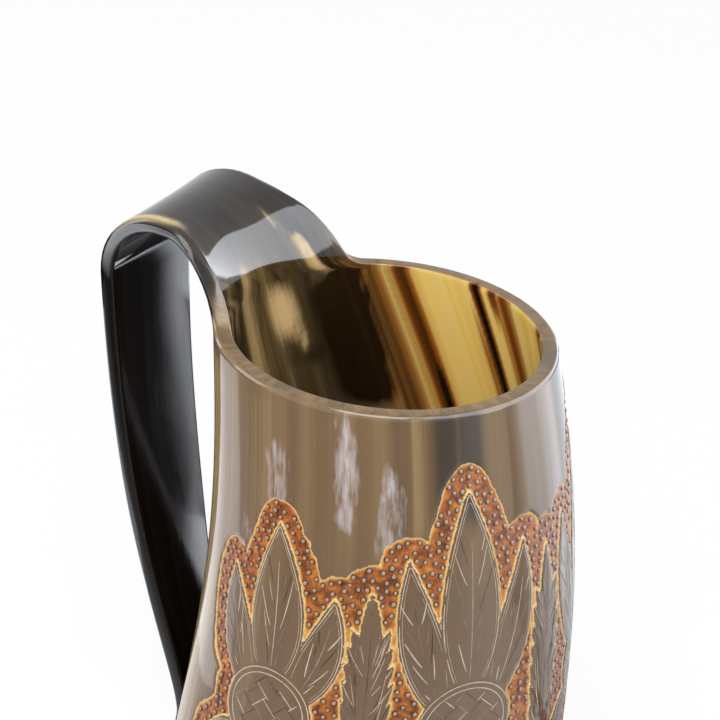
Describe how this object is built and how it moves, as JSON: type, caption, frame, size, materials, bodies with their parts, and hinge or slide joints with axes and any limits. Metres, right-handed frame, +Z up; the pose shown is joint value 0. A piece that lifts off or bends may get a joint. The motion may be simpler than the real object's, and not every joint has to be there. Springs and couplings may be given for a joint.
{
  "type": "horn drinking cup",
  "caption": "Tall drinking cup of natural horn on its wide end, with a handle strip bent from the mouth down to the base and a wooden base disc.",
  "frame": {"origin": "centre of the underside of the base, on the plane that the cup stands on", "axes": "+Z up through the mouth, +X to the front of the cup, away from the handle, which points along -X"},
  "size_m": [0.1339, 0.109, 0.1705],
  "materials": {
    "horn": "polished natural horn, streaked",
    "wood": "turned, waxed",
    "resin": "poured, dark",
    "pin_brass": "filed and polished"
  },
  "bodies": {
    "root": {"horn_body": "horn", "base_disc": "wood", "base_bead": "resin", "handle_pins": "pin_brass", "base_pegs": "pin_brass"}
  },
  "joints": []
}
